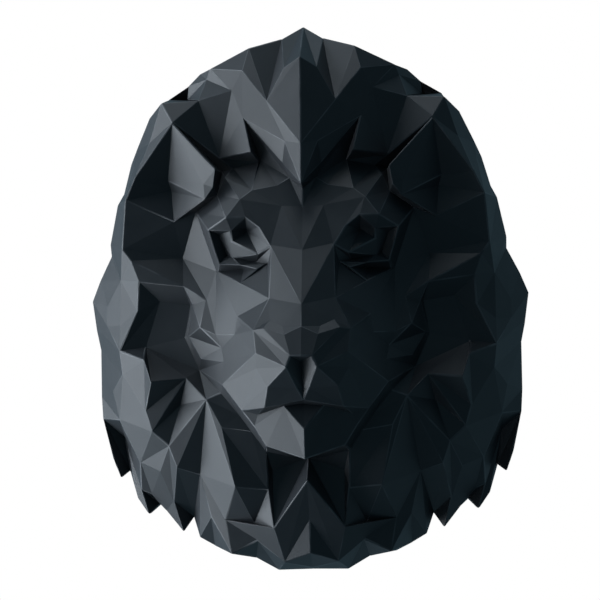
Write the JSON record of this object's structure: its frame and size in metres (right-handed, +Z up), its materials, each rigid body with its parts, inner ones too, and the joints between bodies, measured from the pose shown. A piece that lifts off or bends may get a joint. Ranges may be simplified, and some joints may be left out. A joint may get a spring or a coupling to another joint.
{
  "type": "lion head wall decoration",
  "caption": "Faceted lion head cast in one piece with a flat back, hung on a wall by a keyhole slot.",
  "frame": {"origin": "middle of the flat back, on the wall's plane", "axes": "+Z up, the face looks along -Y, +Y into the wall"},
  "size_m": [0.31, 0.181, 0.381],
  "materials": {
    "black_resin": "satin charcoal black cast resin"
  },
  "bodies": {
    "root": {"lion_head": "black_resin"}
  },
  "joints": []
}
